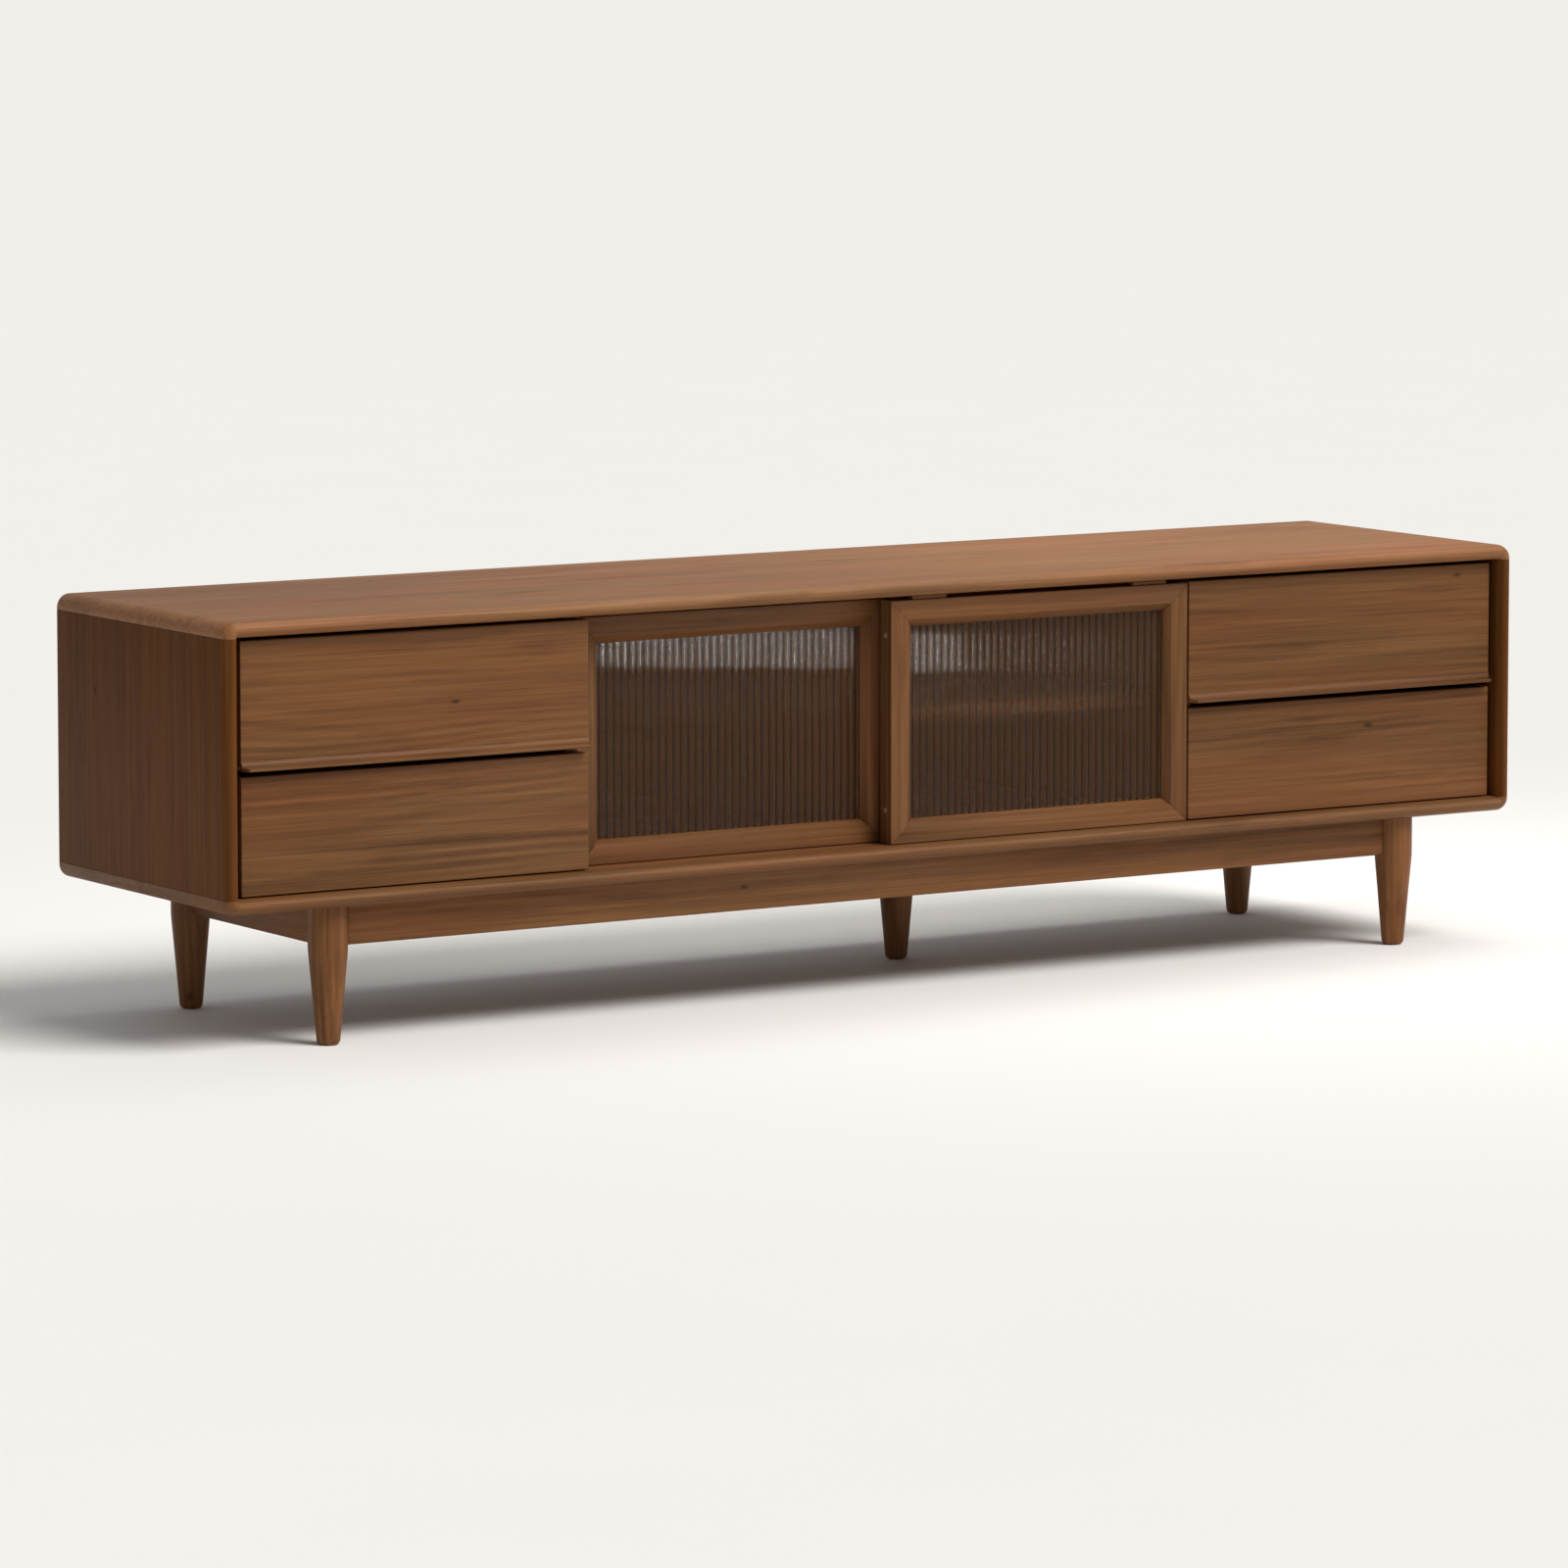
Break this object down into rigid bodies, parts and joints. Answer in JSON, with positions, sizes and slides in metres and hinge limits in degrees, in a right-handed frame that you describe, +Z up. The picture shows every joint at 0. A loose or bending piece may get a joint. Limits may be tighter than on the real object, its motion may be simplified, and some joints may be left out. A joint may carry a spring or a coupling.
{
  "type": "media cabinet",
  "caption": "Low wooden media cabinet on turned legs, with lipped drawers at both ends and sliding doors of fluted glass between them.",
  "frame": {"origin": "on the floor, under the middle of the cabinet's bounding box", "axes": "+Z up, the front with its drawers and doors faces -Y, +X to the right seen from the front"},
  "size_m": [1.8, 0.41, 0.49],
  "materials": {
    "walnut": "oiled walnut, satin",
    "light_wood": "plain light wood, sealed",
    "fluted_glass": "clear glass with vertical flutes",
    "runner_steel": "zinc-plated steel"
  },
  "bodies": {
    "case": {"top_panel": "walnut", "bottom_panel": "walnut", "side_panel_left": "walnut", "side_panel_right": "walnut", "divider_left": "walnut", "divider_right": "walnut", "centre_partition": "walnut", "back_panel": "walnut", "shelf": "walnut", "apron_front": "walnut", "apron_back": "walnut", "apron_left": "walnut", "apron_right": "walnut", "leg_front_left": "walnut", "leg_front_right": "walnut", "leg_back_left": "walnut", "leg_back_right": "walnut", "centre_leg": "walnut", "drawer_upper_left_runner_left": "runner_steel", "drawer_upper_left_runner_right": "runner_steel", "drawer_upper_right_runner_left": "runner_steel", "drawer_upper_right_runner_right": "runner_steel", "drawer_lower_left_runner_left": "runner_steel", "drawer_lower_left_runner_right": "runner_steel", "drawer_lower_right_runner_left": "runner_steel", "drawer_lower_right_runner_right": "runner_steel"},
    "drawer_upper_left": {"drawer_upper_left_front": "walnut", "drawer_upper_left_side_left": "light_wood", "drawer_upper_left_side_right": "light_wood", "drawer_upper_left_back": "light_wood", "drawer_upper_left_bottom": "light_wood"},
    "drawer_upper_right": {"drawer_upper_right_front": "walnut", "drawer_upper_right_side_left": "light_wood", "drawer_upper_right_side_right": "light_wood", "drawer_upper_right_back": "light_wood", "drawer_upper_right_bottom": "light_wood"},
    "drawer_lower_left": {"drawer_lower_left_front": "walnut", "drawer_lower_left_side_left": "light_wood", "drawer_lower_left_side_right": "light_wood", "drawer_lower_left_back": "light_wood", "drawer_lower_left_bottom": "light_wood"},
    "drawer_lower_right": {"drawer_lower_right_front": "walnut", "drawer_lower_right_side_left": "light_wood", "drawer_lower_right_side_right": "light_wood", "drawer_lower_right_back": "light_wood", "drawer_lower_right_bottom": "light_wood"},
    "door_left": {"door_left_stile_left": "walnut", "door_left_stile_right": "walnut", "door_left_rail_top": "walnut", "door_left_rail_bottom": "walnut", "door_left_glass": "fluted_glass", "door_left_guide_left": "walnut", "door_left_guide_right": "walnut"},
    "door_right": {"door_right_stile_left": "walnut", "door_right_stile_right": "walnut", "door_right_rail_top": "walnut", "door_right_rail_bottom": "walnut", "door_right_glass": "fluted_glass", "door_right_guide_left": "walnut", "door_right_guide_right": "walnut"}
  },
  "joints": [
    {"name": "drawer_upper_left_slide", "type": "slide", "parent": "case", "child": "drawer_upper_left", "axis": [0, -1, 0], "range_m": [0, 0.24]},
    {"name": "drawer_upper_right_slide", "type": "slide", "parent": "case", "child": "drawer_upper_right", "axis": [0, -1, 0], "range_m": [0, 0.24]},
    {"name": "drawer_lower_left_slide", "type": "slide", "parent": "case", "child": "drawer_lower_left", "axis": [0, -1, 0], "range_m": [0, 0.24]},
    {"name": "drawer_lower_right_slide", "type": "slide", "parent": "case", "child": "drawer_lower_right", "axis": [0, -1, 0], "range_m": [0, 0.24]},
    {"name": "door_left_slide", "type": "slide", "parent": "case", "child": "door_left", "axis": [1, 0, 0], "range_m": [0, 0.412]},
    {"name": "door_right_slide", "type": "slide", "parent": "case", "child": "door_right", "axis": [-1, 0, 0], "range_m": [0, 0.412]}
  ]
}
